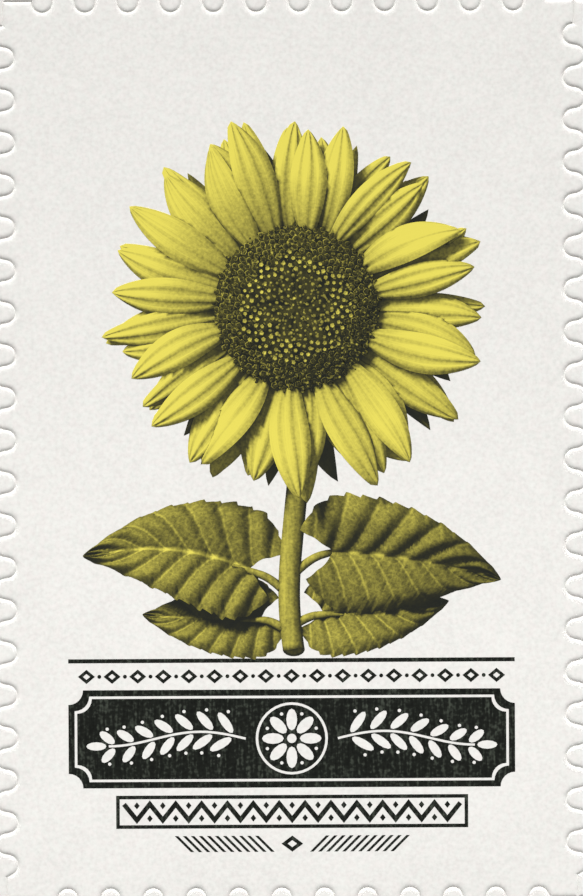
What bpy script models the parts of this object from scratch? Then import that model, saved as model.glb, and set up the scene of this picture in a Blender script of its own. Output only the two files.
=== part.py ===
"""Self-adhesive postage stamp, kiss-cut on its backing sheet.

A small card: one plain backing sheet, and on it a layer of label paper that a die has cut through
in wavy lines. The cuts part the layer into the stamp, the plain margin on its left, and the
trimmed edges of the label paper above, below and to the right of it.

The stamp's centre is over the origin, its upper edge is towards +Y and its printed face is up.
The card lies on Z = 0. Lengths are in millimetres, and MM turns them into metres.
"""

import math

import bpy

MM = 0.001

# The stamp, measured between the mid-lines of the cuts on its opposite sides.
STAMP_WIDTH = 24.16
STAMP_HEIGHT = 38.00

# The wavy cut: whole waves of one pitch, with a short straight lead at each end.
LEVEL_WAVES = 12
LEVEL_PITCH = 1.813
UPRIGHT_WAVES = 20
UPRIGHT_PITCH = 1.799
WAVE_DEPTH = 0.465                  # from the mid-line to the tip of a wave
TIP_SWEEP_DEG = 80                  # the arc at a tip turns this far each way from the tip
OPEN_SWEEP_DEG = 60                 # the outer side of the last wave is opened to this
ARC_STEP_DEG = 20                   # one facet of an arc
KERF = 0.03                         # width of the cut

# The layers, from the bottom up. The thin gap between them is the film of adhesive.
BACKING_THICKNESS = 0.16
ADHESIVE_THICKNESS = 0.02
PAPER_THICKNESS = 0.10

# The card is trimmed through the tips of the neighbouring stamps' waves.
TRIM_QUARTER_WAVES = 3

PAPER_COLOUR = (0.81, 0.80, 0.77, 1.0)
BACKING_COLOUR = (0.74, 0.71, 0.63, 1.0)
PAPER_ROUGHNESS = 0.62
BACKING_ROUGHNESS = 0.45

HALF_WIDTH = STAMP_WIDTH / 2
HALF_HEIGHT = STAMP_HEIGHT / 2
HALF_KERF = KERF / 2


def clear_scene():
    """Remove every object of the open file."""
    for item in list(bpy.data.objects):
        bpy.data.objects.remove(item, do_unlink=True)


def make_material(name, colour, roughness):
    """A plain paper-like Principled material."""
    material = bpy.data.materials.new(name)
    material.use_nodes = True
    shader = material.node_tree.nodes["Principled BSDF"]
    shader.inputs["Base Color"].default_value = colour
    shader.inputs["Roughness"].default_value = roughness
    shader.inputs["Metallic"].default_value = 0.0
    material.diffuse_color = colour
    return material


def tip_radius(pitch):
    """Radius of the arcs that reach WAVE_DEPTH and join in straight flanks."""
    sweep = math.radians(TIP_SWEEP_DEG)
    return (pitch / 4 * math.sin(sweep) - WAVE_DEPTH * math.cos(sweep)) / (1 - math.cos(sweep))


def lead_length(length, pitch, waves):
    """Straight part of a cut between the stamp's corner and the first wave."""
    return (length - waves * pitch) / 2


def cut_line(length, pitch, waves):
    """Mid-line of the cut along one side of a stamp, as (along, across) points.

    The half-waves bend to the negative and the positive side in turn. Both corners are included.
    """
    radius = tip_radius(pitch)
    lead = lead_length(length, pitch, waves)
    half_waves = 2 * waves
    points = [(0.0, 0.0), (lead, 0.0)]
    for index in range(half_waves):
        side = 1 if index % 2 else -1
        tip_along = lead + (index + 0.5) * pitch / 2
        is_last = index == half_waves - 1
        last_angle = OPEN_SWEEP_DEG if is_last else TIP_SWEEP_DEG
        for angle_deg in range(-TIP_SWEEP_DEG, last_angle + 1, ARC_STEP_DEG):
            angle = math.radians(angle_deg)
            along = tip_along + radius * math.sin(angle)
            across = side * (WAVE_DEPTH - radius * (1 - math.cos(angle)))
            points.append((along, across))
    last_along, last_across = points[-1]
    slope = math.tan(math.radians(OPEN_SWEEP_DEG))
    points.append((last_along + last_across / slope, 0.0))
    points.append((length, 0.0))
    return points


def unit_normal(start, end):
    """Unit vector at a right angle to start-end, to its left."""
    along = end[0] - start[0]
    across = end[1] - start[1]
    size = math.hypot(along, across)
    return (-across / size, along / size)


def offset_line(points, distance):
    """The line moved sideways by distance, with mitred corners."""
    normals = [unit_normal(a, b) for a, b in zip(points, points[1:])]
    before = [normals[0]] + normals
    after = normals + [normals[-1]]
    moved = []
    for point, first, second in zip(points, before, after):
        spread = 1 + first[0] * second[0] + first[1] * second[1]
        along = point[0] + distance * (first[0] + second[0]) / spread
        across = point[1] + distance * (first[1] + second[1]) / spread
        moved.append((along, across))
    return moved


class Cut:
    """One wavy cut line, and its two sides half a kerf away from the mid-line."""

    def __init__(self, length, pitch, waves):
        self.length = length
        self.trim = lead_length(length, pitch, waves) + TRIM_QUARTER_WAVES * pitch / 4
        middle = cut_line(length, pitch, waves)
        self.sides = {side: offset_line(middle, side * HALF_KERF)[1:-1] for side in (-1, 1)}

    def whole(self, side):
        """Points along one stamp, without the corners."""
        return self.sides[side]

    def start(self, side):
        """The first waves, as far as the trimmed edge of the card."""
        limit = self.trim + HALF_KERF
        return [point for point in self.sides[side] if point[0] < limit]

    def end(self, side):
        """The last waves, from the trimmed edge of the card on."""
        limit = self.length - self.trim - HALF_KERF
        return [point for point in self.sides[side] if point[0] > limit]


def level(points, x, y):
    """Place a cut that runs to +X from (x, y)."""
    return [(x + along, y + across) for along, across in points]


def upright(points, x, y):
    """Place a cut that runs to -Y from (x, y)."""
    return [(x + across, y - along) for along, across in points]


LEVEL_CUT = Cut(STAMP_WIDTH, LEVEL_PITCH, LEVEL_WAVES)
UPRIGHT_CUT = Cut(STAMP_HEIGHT, UPRIGHT_PITCH, UPRIGHT_WAVES)
CARD_HALF_WIDTH = HALF_WIDTH + LEVEL_CUT.trim
CARD_HALF_HEIGHT = HALF_HEIGHT + UPRIGHT_CUT.trim
ABOVE_TOP = HALF_HEIGHT + STAMP_HEIGHT


def stamp_outline():
    """The stamp, wavy on all four sides."""
    inner_x = HALF_WIDTH - HALF_KERF
    inner_y = HALF_HEIGHT - HALF_KERF
    outline = [(-inner_x, -inner_y)]
    outline += level(LEVEL_CUT.whole(1), -HALF_WIDTH, -HALF_HEIGHT)
    outline += [(inner_x, -inner_y)]
    outline += upright(UPRIGHT_CUT.whole(-1), HALF_WIDTH, HALF_HEIGHT)[::-1]
    outline += [(inner_x, inner_y)]
    outline += level(LEVEL_CUT.whole(-1), -HALF_WIDTH, HALF_HEIGHT)[::-1]
    outline += [(-inner_x, inner_y)]
    outline += upright(UPRIGHT_CUT.whole(1), -HALF_WIDTH, HALF_HEIGHT)
    return outline


def left_margin_outline():
    """The plain margin, full height, with the wavy cut on its right side only."""
    outline = [(-CARD_HALF_WIDTH, CARD_HALF_HEIGHT), (-CARD_HALF_WIDTH, -CARD_HALF_HEIGHT)]
    outline += upright(UPRIGHT_CUT.start(-1), -HALF_WIDTH, -HALF_HEIGHT)[::-1]
    outline += upright(UPRIGHT_CUT.whole(-1), -HALF_WIDTH, HALF_HEIGHT)[::-1]
    outline += upright(UPRIGHT_CUT.end(-1), -HALF_WIDTH, ABOVE_TOP)[::-1]
    return outline


def upper_strip_outline():
    """Label paper above the stamp, between the two upright cuts."""
    inner_x = HALF_WIDTH - HALF_KERF
    inner_y = HALF_HEIGHT + HALF_KERF
    outline = [(-inner_x, inner_y)]
    outline += level(LEVEL_CUT.whole(1), -HALF_WIDTH, HALF_HEIGHT)
    outline += [(inner_x, inner_y)]
    outline += upright(UPRIGHT_CUT.end(-1), HALF_WIDTH, ABOVE_TOP)[::-1]
    outline += upright(UPRIGHT_CUT.end(1), -HALF_WIDTH, ABOVE_TOP)
    return outline


def lower_strip_outline():
    """Label paper below the stamp, between the two upright cuts."""
    inner_x = HALF_WIDTH - HALF_KERF
    inner_y = HALF_HEIGHT + HALF_KERF
    outline = [(-inner_x, -inner_y)]
    outline += upright(UPRIGHT_CUT.start(1), -HALF_WIDTH, -HALF_HEIGHT)
    outline += upright(UPRIGHT_CUT.start(-1), HALF_WIDTH, -HALF_HEIGHT)[::-1]
    outline += [(inner_x, -inner_y)]
    outline += level(LEVEL_CUT.whole(-1), -HALF_WIDTH, -HALF_HEIGHT)[::-1]
    return outline


def right_strip_outline():
    """Label paper to the right of the stamp, between the two level cuts."""
    inner_x = HALF_WIDTH + HALF_KERF
    inner_y = HALF_HEIGHT - HALF_KERF
    outline = [(inner_x, inner_y)]
    outline += upright(UPRIGHT_CUT.whole(1), HALF_WIDTH, HALF_HEIGHT)
    outline += [(inner_x, -inner_y)]
    outline += level(LEVEL_CUT.start(1), HALF_WIDTH, -HALF_HEIGHT)
    outline += level(LEVEL_CUT.start(-1), HALF_WIDTH, HALF_HEIGHT)[::-1]
    return outline


def upper_right_outline():
    """Label paper past the stamp's upper right corner."""
    outline = upright(UPRIGHT_CUT.end(1), HALF_WIDTH, ABOVE_TOP)
    outline += [(HALF_WIDTH + HALF_KERF, HALF_HEIGHT + HALF_KERF)]
    outline += level(LEVEL_CUT.start(1), HALF_WIDTH, HALF_HEIGHT)
    outline += [(CARD_HALF_WIDTH, CARD_HALF_HEIGHT)]
    return outline


def lower_right_outline():
    """Label paper past the stamp's lower right corner."""
    outline = [(HALF_WIDTH + HALF_KERF, -HALF_HEIGHT - HALF_KERF)]
    outline += upright(UPRIGHT_CUT.start(1), HALF_WIDTH, -HALF_HEIGHT)
    outline += [(CARD_HALF_WIDTH, -CARD_HALF_HEIGHT)]
    outline += level(LEVEL_CUT.start(-1), HALF_WIDTH, -HALF_HEIGHT)[::-1]
    return outline


LABEL_PIECES = {
    "stamp": stamp_outline,
    "left_margin_strip": left_margin_outline,
    "upper_label_strip": upper_strip_outline,
    "lower_label_strip": lower_strip_outline,
    "right_label_strip": right_strip_outline,
    "upper_right_label_corner": upper_right_outline,
    "lower_right_label_corner": lower_right_outline,
}


def make_label_piece(name, outline, collection, material):
    """A flat piece of label paper with the given outline."""
    curve = bpy.data.curves.new(name, "CURVE")
    curve.dimensions = "2D"
    curve.fill_mode = "BOTH"
    curve.extrude = PAPER_THICKNESS / 2 * MM
    spline = curve.splines.new("POLY")
    spline.points.add(len(outline) - 1)
    for point, (x, y) in zip(spline.points, outline):
        point.co = (x * MM, y * MM, 0.0, 1.0)
    spline.use_cyclic_u = True
    curve.materials.append(material)
    piece = bpy.data.objects.new(name, curve)
    middle = BACKING_THICKNESS + ADHESIVE_THICKNESS + PAPER_THICKNESS / 2
    piece.location = (0.0, 0.0, middle * MM)
    collection.objects.link(piece)
    return piece


def make_backing_sheet(collection, material):
    """The backing sheet, as large as the whole card."""
    bpy.ops.mesh.primitive_cube_add(size=1.0, location=(0.0, 0.0, BACKING_THICKNESS / 2 * MM))
    sheet = bpy.context.active_object
    sheet.name = "backing_sheet"
    sheet.data.name = "backing_sheet"
    size = (2 * CARD_HALF_WIDTH, 2 * CARD_HALF_HEIGHT, BACKING_THICKNESS)
    sheet.scale = [side * MM for side in size]
    bpy.ops.object.transform_apply(location=False, rotation=False, scale=True)
    sheet.data.materials.append(material)
    for owner in list(sheet.users_collection):
        owner.objects.unlink(sheet)
    collection.objects.link(sheet)
    return sheet


def main():
    """Build the card in one collection, its pieces parented to one empty."""
    clear_scene()
    collection = bpy.data.collections.new("postage_stamp")
    bpy.context.scene.collection.children.link(collection)
    paper = make_material("label_paper", PAPER_COLOUR, PAPER_ROUGHNESS)
    backing = make_material("backing_paper", BACKING_COLOUR, BACKING_ROUGHNESS)
    card = bpy.data.objects.new("card", None)
    card.empty_display_size = CARD_HALF_WIDTH * MM
    collection.objects.link(card)
    pieces = [make_backing_sheet(collection, backing)]
    for name, outline in LABEL_PIECES.items():
        pieces.append(make_label_piece(name, outline(), collection, paper))
    for piece in pieces:
        piece.parent = card


main()
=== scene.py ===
"""Looks of a self-adhesive postage stamp, kiss-cut on its backing sheet."""
import math
import random

import bmesh
import bpy
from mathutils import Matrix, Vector
from mathutils.bvhtree import BVHTree


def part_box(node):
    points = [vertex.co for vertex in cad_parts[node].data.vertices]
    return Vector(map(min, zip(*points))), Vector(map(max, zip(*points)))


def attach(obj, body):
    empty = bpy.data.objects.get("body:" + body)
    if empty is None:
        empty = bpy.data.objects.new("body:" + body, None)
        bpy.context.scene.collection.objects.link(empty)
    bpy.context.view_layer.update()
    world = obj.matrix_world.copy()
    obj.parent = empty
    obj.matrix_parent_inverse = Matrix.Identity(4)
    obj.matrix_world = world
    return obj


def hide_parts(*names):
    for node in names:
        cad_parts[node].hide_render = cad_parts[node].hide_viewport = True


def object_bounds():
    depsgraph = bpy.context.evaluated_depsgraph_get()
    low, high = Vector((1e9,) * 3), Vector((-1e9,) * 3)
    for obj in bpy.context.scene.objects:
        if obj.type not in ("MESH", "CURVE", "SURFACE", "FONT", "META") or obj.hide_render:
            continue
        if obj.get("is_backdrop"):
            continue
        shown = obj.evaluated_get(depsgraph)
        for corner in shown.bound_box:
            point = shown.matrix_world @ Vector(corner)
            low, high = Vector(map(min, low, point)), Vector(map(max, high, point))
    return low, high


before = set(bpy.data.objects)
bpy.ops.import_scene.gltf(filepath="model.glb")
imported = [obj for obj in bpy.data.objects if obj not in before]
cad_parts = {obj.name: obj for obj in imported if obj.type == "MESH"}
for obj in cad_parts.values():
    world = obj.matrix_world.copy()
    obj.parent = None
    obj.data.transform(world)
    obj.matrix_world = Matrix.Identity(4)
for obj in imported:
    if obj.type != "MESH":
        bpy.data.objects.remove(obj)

bl_info = {
    "name": "Die-Cut Postage Stamp",
    "version": (1, 0, 0),
    "blender": (4, 5, 0),
    "location": "View3D > Sidebar > Stamp",
    "description": "Models and finishes a self-adhesive stamp on its backing sheet",
    "category": "Object",
}

MM = 0.001
LABEL_NODES = (
    "stamp",
    "left_margin_strip",
    "upper_label_strip",
    "lower_label_strip",
    "right_label_strip",
    "upper_right_label_corner",
    "lower_right_label_corner",
)
CAD_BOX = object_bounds()
BACKING_LOW, BACKING_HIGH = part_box("backing_sheet")
STAMP_LOW, STAMP_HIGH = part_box("stamp")
CARD_HALF = Vector(((BACKING_HIGH.x - BACKING_LOW.x) / 2, (BACKING_HIGH.y - BACKING_LOW.y) / 2))
FACE_Z = STAMP_HIGH.z               # height of the printed face
MERGE = 1e-6                        # corners closer than this are one corner
FLAT_ANGLE = math.radians(0.5)
SMOOTH_ANGLE = math.radians(35)
GOLDEN_ANGLE = math.pi * (3 - math.sqrt(5))
UPWARD = 0.9                        # a face looks up when its normal's z is above this


# ---------------------------------------------------------------- selecting and editing

def compass(angle):
    """The level unit vector that points this way."""
    return Vector((math.cos(angle), math.sin(angle), 0.0))


def deselect_all():
    """Leave nothing selected, as each operator acts on all that is."""
    if bpy.context.object and bpy.context.object.mode != "OBJECT":
        bpy.ops.object.mode_set(mode="OBJECT")
    bpy.ops.object.select_all(action="DESELECT")


def activate(piece):
    """Select one piece only and make it the active one."""
    deselect_all()
    piece.select_set(True)
    bpy.context.view_layer.objects.active = piece


def edit(piece, kind="VERT"):
    """Open a piece in edit mode, with all of it selected."""
    activate(piece)
    bpy.ops.object.mode_set(mode="EDIT")
    bpy.ops.mesh.select_mode(type=kind)
    bpy.ops.mesh.select_all(action="SELECT")


def select_where(piece, test, kind="VERT"):
    """In edit mode, select the vertices, edges or faces that pass the test."""
    bpy.ops.mesh.select_mode(type=kind)
    bpy.ops.mesh.select_all(action="DESELECT")
    cage = bmesh.from_edit_mesh(piece.data)
    parts = {"VERT": cage.verts, "EDGE": cage.edges, "FACE": cage.faces}[kind]
    for part in parts:
        if test(part):
            part.select_set(True)
    bmesh.update_edit_mesh(piece.data)


def select_facing(piece, side=1):
    """In edit mode, select the faces that look up, or with side -1 those that look down."""
    select_where(piece, lambda f: side * f.normal.z > UPWARD, "FACE")


def raise_selected(height):
    """In edit mode, move what is selected upwards."""
    bpy.ops.transform.translate(value=(0.0, 0.0, height))


def flatten_selected(share, level):
    """In edit mode, bring what is selected to this share of its distance from a level."""
    bpy.ops.transform.resize(value=(1.0, 1.0, share), center_override=(0.0, 0.0, level))


def close_edit():
    """Back to object mode."""
    bpy.ops.object.mode_set(mode="OBJECT")


def link(piece):
    """Put a new object into the scene."""
    bpy.context.scene.collection.objects.link(piece)
    return piece


def join(name, pieces):
    """Put pieces where their objects stand and join them into one."""
    deselect_all()
    for piece in pieces:
        piece.select_set(True)
    bpy.context.view_layer.objects.active = pieces[0]
    bpy.ops.object.transform_apply(location=True, rotation=True, scale=True)
    bpy.ops.object.join()
    pieces[0].name = name
    pieces[0].data.name = name
    return pieces[0]


def copy_of(source, place, turn=(0.0, 0.0, 0.0), scale=(1.0, 1.0, 1.0)):
    """A copy of a modelled shape, with its own mesh, set down at a place."""
    copy = source.copy()
    copy.data = source.data.copy()
    copy.location = place
    copy.rotation_euler = turn
    copy.scale = scale
    return link(copy)


def paint(piece, name, value_of):
    """Store a number at each vertex, worked out from its place."""
    values = piece.data.attributes.new(name, "FLOAT", "POINT").data
    for vertex, value in zip(piece.data.vertices, values):
        value.value = value_of(vertex.co)


def finish_piece(piece, material, slot, *nodes, smooth_angle=SMOOTH_ANGLE):
    """Shade a piece, give it its material, and let it ride on the card."""
    piece.data.materials.clear()
    piece.data.materials.append(material)
    activate(piece)
    bpy.ops.object.shade_smooth_by_angle(angle=smooth_angle)
    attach(piece, "root")
    if nodes:
        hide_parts(*nodes)


def copy_of_node(node_name, piece_name):
    """A piece that starts as a merged copy of a frame node, its flat sides single faces."""
    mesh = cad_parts[node_name].data.copy()
    mesh.name = piece_name
    piece = link(bpy.data.objects.new(piece_name, mesh))
    activate(piece)
    bpy.ops.mesh.customdata_custom_splitnormals_clear()
    edit(piece)
    bpy.ops.mesh.remove_doubles(threshold=MERGE)
    bpy.ops.mesh.dissolve_limited(angle_limit=FLAT_ANGLE)
    close_edit()
    return piece


def mesh_from_curve(name, curve):
    """A mesh made from a curve, left open in edit mode."""
    piece = link(bpy.data.objects.new(name, curve))
    activate(piece)
    bpy.ops.object.convert(target="MESH")
    edit(piece)
    bpy.ops.mesh.remove_doubles(threshold=MERGE)
    return piece


def face_outwards():
    """In edit mode, turn the faces of what is selected outwards."""
    bpy.ops.mesh.normals_make_consistent(inside=False)


# ---------------------------------------------------------------- materials

PLAIN_SPECULAR = 0.5                # the shader's own value


def new_material(name):
    """An empty node material with a Principled shader; returns it with its tree and shader."""
    material = bpy.data.materials.new(name)
    material.use_nodes = True
    tree = material.node_tree
    return material, tree, tree.nodes["Principled BSDF"]


def node(tree, kind, inputs, **settings):
    """A new shader node; each input is a plain value or another node's output."""
    made = tree.nodes.new("ShaderNode" + kind)
    for name, value in settings.items():
        setattr(made, name, value)
    for name, value in inputs.items():
        if isinstance(value, bpy.types.NodeSocket):
            tree.links.new(value, made.inputs[name])
        else:
            made.inputs[name].default_value = value
    return made


def math_node(tree, operation, *values, clamp=False):
    """One math node; a value is a number or another node's output."""
    return node(tree, "Math", dict(enumerate(values)), operation=operation, use_clamp=clamp).outputs[0]


def times(tree, first, second):
    """One value times another."""
    return math_node(tree, "MULTIPLY", first, second)


def scaled(tree, value, factor, offset):
    """A value times a factor, plus an offset."""
    return math_node(tree, "MULTIPLY_ADD", value, factor, offset)


def stretched(tree, place, stretch):
    """Coordinates times a number along each axis."""
    return node(tree, "Mapping", {"Vector": place, "Scale": stretch}).outputs["Vector"]


def uv_place(tree, along=1.0, across=1.0):
    """Places in the piece's own UV map, along and across a petal or a leaf."""
    place = node(tree, "UVMap", {}, uv_map="UVMap").outputs["UV"]
    return stretched(tree, place, (along, across, 1.0))


def noise(tree, scale, detail=2.0, roughness=0.5, stretch=(1.0, 1.0, 1.0), place=None):
    """Noise values, scale in features per metre, on Object coordinates unless a place is given."""
    if place is None:
        place = stretched(tree, node(tree, "TexCoord", {}).outputs["Object"], stretch)
    inputs = {"Vector": place, "Scale": scale, "Detail": detail, "Roughness": roughness}
    return node(tree, "TexNoise", inputs).outputs["Fac"]


def ramp(tree, factor, stops):
    """Colour ramp from (position, colour) stops."""
    made = node(tree, "ValToRGB", {"Fac": factor})
    elements = made.color_ramp.elements
    while len(elements) < len(stops):
        elements.new(0.5)
    for element, (position, colour) in zip(elements, stops):
        element.position = position
        element.color = (*colour, 1.0)
    return made.outputs["Color"]


def shades(tree, factor, colour, *stops):
    """Colour ramp from (position, strength) stops of one colour."""
    return ramp(tree, factor, [(position, Vector(colour) * strength) for position, strength in stops])


def finish_shader(tree, shader, colour, roughness, specular, bump):
    """Give a shader its colour, its gloss and a bump of (height, distance in metres, strength)."""
    height, distance, strength = bump
    made = node(tree, "Bump", {"Height": height, "Distance": distance, "Strength": strength})
    tree.links.new(made.outputs["Normal"], shader.inputs["Normal"])
    tree.links.new(colour, shader.inputs["Base Color"])
    shader.inputs["Roughness"].default_value = roughness
    shader.inputs["Specular IOR Level"].default_value = specular


def label_paper_material(paper):
    """Matt-coated white paper: faint clouding, fine fibres and a soft sheen."""
    material, tree, shader = new_material("label_paper")
    cloud = noise(tree, 420.0, detail=3.0)
    fibre = noise(tree, 6000.0)
    mottle = scaled(tree, fibre, 0.78, times(tree, cloud, 0.22))
    shade = shades(tree, mottle, paper.colour, (0.30, 0.925), (0.50, 1.0), (0.70, 1.06))
    cast = ramp(tree, noise(tree, 3100.0), [(0.35, (1.0, 0.985, 0.985)), (0.65, (0.982, 1.0, 0.992))])
    colours = {"Factor": 1.0, "A": shade, "B": cast}
    mix = node(tree, "Mix", colours, data_type="RGBA", blend_type="MULTIPLY")
    finish_shader(tree, shader, mix.outputs["Result"], 0.64, 0.32, (fibre, 3e-6, 0.6))
    return material


def adhesive_material(paper):
    """Clear gum, dull at the cut edge, with small trapped specks."""
    material, tree, shader = new_material("adhesive")
    speck = noise(tree, 5000.0, detail=3.0, roughness=0.6)
    colour = shades(tree, speck, paper.adhesive_colour, (0.30, 0.88), (0.50, 1.0), (0.70, 1.05))
    finish_shader(tree, shader, colour, 0.30, PLAIN_SPECULAR, (speck, 1e-6, 0.5))
    return material


def backing_material(paper):
    """Smooth, slightly yellow release paper."""
    material, tree, shader = new_material("backing_paper")
    cloud = noise(tree, 700.0, detail=4.0)
    fibre = noise(tree, 7000.0, detail=3.0, roughness=0.6, stretch=(0.3, 1.0, 1.0))
    mottle = times(tree, math_node(tree, "ADD", fibre, cloud), 0.5)
    colour = shades(tree, mottle, paper.backing_colour, (0.30, 0.92), (0.50, 0.98), (0.72, 1.02))
    finish_shader(tree, shader, colour, 0.38, PLAIN_SPECULAR, (fibre, 2e-6, 0.5))
    return material


def black_ink_material(ink):
    """Solid black, a little thin in fine upright streaks."""
    material, tree, shader = new_material("black_ink")
    streak = noise(tree, 9500.0, detail=1.0, stretch=(1.0, 0.12, 1.0))
    speck = noise(tree, 6500.0, detail=1.0)
    thin = times(tree, math_node(tree, "ADD", streak, speck), 0.5)
    colour = shades(tree, thin, ink.black, (0.35, 0.55), (0.52, 1.0), (0.68, 4.6))
    finish_shader(tree, shader, colour, 0.52, 0.12, (speck, 1.5e-6, 0.5))
    return material


def two_ink_material(name, ink, change):
    """Black grain over solid yellow: the darker the tone, the more the black covers."""
    material, tree, shader = new_material(name)
    tone = change(tree, node(tree, "Attribute", {}, attribute_name="tone").outputs["Fac"])
    grain = noise(tree, ink.grain_scale, detail=1.0)
    cover = math_node(tree, "SUBTRACT", 1.0, tone, clamp=True)
    spread = times(tree, cover, math_node(tree, "SUBTRACT", 1.0, cover))
    swing = times(tree, math_node(tree, "SUBTRACT", grain, 0.5), ink.grain_gain)
    black = math_node(tree, "MULTIPLY_ADD", spread, swing, cover, clamp=True)
    colour = ramp(tree, black, [(0.0, ink.yellow), (1.0, ink.black)])
    finish_shader(tree, shader, colour, 0.56, 0.18, (grain, 1.5e-6, 0.5))
    return material


def petal_tone(tree, tone):
    """The tone of a petal, with fine streaks that run along it."""
    fine = noise(tree, 1.0, place=uv_place(tree, 2.0, 34.0))
    broad = noise(tree, 1.0, detail=1.0, place=uv_place(tree, 1.5, 9.0))
    streak = scaled(tree, fine, 0.55, times(tree, broad, 0.45))
    return times(tree, tone, scaled(tree, streak, 0.80, 0.58))


def leaf_tone(tree, tone):
    """The tone of a leaf: a pale midrib, side veins and a fine net between them."""
    split = node(tree, "SeparateXYZ", {"Vector": uv_place(tree)})
    along, side = split.outputs["X"], split.outputs["Y"]
    from_midrib = math_node(tree, "ABSOLUTE", scaled(tree, side, 2.0, -1.0))
    rise = times(tree, math_node(tree, "POWER", from_midrib, VEIN_CURVE), VEIN_RISE)
    order = scaled(tree, math_node(tree, "SUBTRACT", along, rise), LEAF_VEINS, 0.5)
    phase = math_node(tree, "SUBTRACT", math_node(tree, "FRACT", order), 0.5)
    from_vein = math_node(tree, "SUBTRACT", 0.5, math_node(tree, "ABSOLUTE", phase))
    cells = {"Vector": uv_place(tree, 30.0, 24.0), "Scale": 1.0}
    net = node(tree, "TexVoronoi", cells, feature="DISTANCE_TO_EDGE").outputs["Distance"]
    cloud = noise(tree, 1300.0, detail=3.0, roughness=0.55)
    change = scaled(tree, cloud, 0.75, 0.50)
    lines = ((from_midrib, 0.055, 1.7), (from_vein, 0.085, 0.95), (net, 0.09, 0.35))
    for distance, half_width, strength in lines:
        share = math_node(tree, "DIVIDE", distance, half_width)
        change = scaled(tree, math_node(tree, "SUBTRACT", 1.0, share, clamp=True), strength, change)
    return times(tree, tone, change)


def stem_tone(tree, tone):
    """The tone of the stem, its stalks and the bracts, with ribs that run up the stem."""
    rib = noise(tree, 5200.0, stretch=(1.0, 0.06, 1.0))
    cloud = noise(tree, 1700.0)
    return times(tree, tone, scaled(tree, rib, 1.3, scaled(tree, cloud, 0.7, 0.02)))


def disc_tone(tree, tone):
    """The tone of the flower's centre, with bright specks of pollen."""
    speck = noise(tree, 9000.0, detail=0.0)
    patch = noise(tree, 2600.0)
    pollen = times(tree, math_node(tree, "SUBTRACT", speck, 0.64, clamp=True), 2.4)
    changed = times(tree, tone, scaled(tree, patch, 2.2, -0.15))
    return math_node(tree, "ADD", changed, pollen)


# ---------------------------------------------------------------- settings

class StampPaperSettings(bpy.types.PropertyGroup):
    """Paper colours and the pressed shoulder beside the cuts."""

    colour: bpy.props.FloatVectorProperty(
        name="Paper", description="Colour of the label paper",
        subtype="COLOR", size=3, min=0.0, max=1.0, default=(0.862, 0.848, 0.822))
    backing_colour: bpy.props.FloatVectorProperty(
        name="Backing", description="Colour of the backing sheet",
        subtype="COLOR", size=3, min=0.0, max=1.0, default=(0.74, 0.71, 0.63))
    adhesive_colour: bpy.props.FloatVectorProperty(
        name="Adhesive", description="Colour of the film of adhesive",
        subtype="COLOR", size=3, min=0.0, max=1.0, default=(0.80, 0.78, 0.70))
    press_depth: bpy.props.FloatProperty(
        name="Press depth", description="How far the die presses the paper down at the cut",
        subtype="DISTANCE", unit="LENGTH", min=0.0, default=0.075 * MM)
    press_width: bpy.props.FloatProperty(
        name="Press width", description="Width of the pressed shoulder beside the cut",
        subtype="DISTANCE", unit="LENGTH", min=0.0, default=0.34 * MM)
    level_press: bpy.props.FloatProperty(
        name="Level press", description="Press of the stamp's level cuts, as a share of the others'",
        subtype="FACTOR", min=0.0, max=1.0, default=0.68)


class StampInkSettings(bpy.types.PropertyGroup):
    """The two inks and their grain."""

    yellow: bpy.props.FloatVectorProperty(
        name="Yellow", description="Colour of the solid yellow ink on the paper",
        subtype="COLOR", size=3, min=0.0, max=1.0, default=(0.838, 0.743, 0.116))
    black: bpy.props.FloatVectorProperty(
        name="Black", description="Colour of the solid black ink on the paper",
        subtype="COLOR", size=3, min=0.0, max=1.0, default=(0.012, 0.014, 0.011))
    grain_scale: bpy.props.FloatProperty(
        name="Grain scale", description="Grains of black ink in one metre", min=0.0, default=9000.0)
    grain_gain: bpy.props.FloatProperty(
        name="Grain gain", description="How strongly the grain breaks up a middle tone", min=0.0, default=2.0)
    film: bpy.props.FloatProperty(
        name="Film", description="Height of the picture's ink as a share of the modelled relief",
        min=0.0, default=0.0025)


class StampFlowerSettings(bpy.types.PropertyGroup):
    """The printed sunflower."""

    centre: bpy.props.FloatVectorProperty(
        name="Centre", description="Middle of the flower's head",
        subtype="XYZ", size=2, default=(0.3 * MM, 6.0 * MM))
    disc_radius: bpy.props.FloatProperty(
        name="Disc radius", description="Radius of the brown disc of florets",
        subtype="DISTANCE", unit="LENGTH", default=3.5 * MM)
    petal_length: bpy.props.FloatProperty(
        name="Petal length", description="Length of one petal",
        subtype="DISTANCE", unit="LENGTH", default=5.0 * MM)
    petal_width: bpy.props.FloatProperty(
        name="Petal width", description="Greatest width of one petal",
        subtype="DISTANCE", unit="LENGTH", default=1.6 * MM)
    leaf_length: bpy.props.FloatProperty(
        name="Leaf length", description="Length of one leaf",
        subtype="DISTANCE", unit="LENGTH", default=7.7 * MM)
    leaf_width: bpy.props.FloatProperty(
        name="Leaf width", description="Greatest width of one leaf",
        subtype="DISTANCE", unit="LENGTH", default=5.6 * MM)


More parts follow.
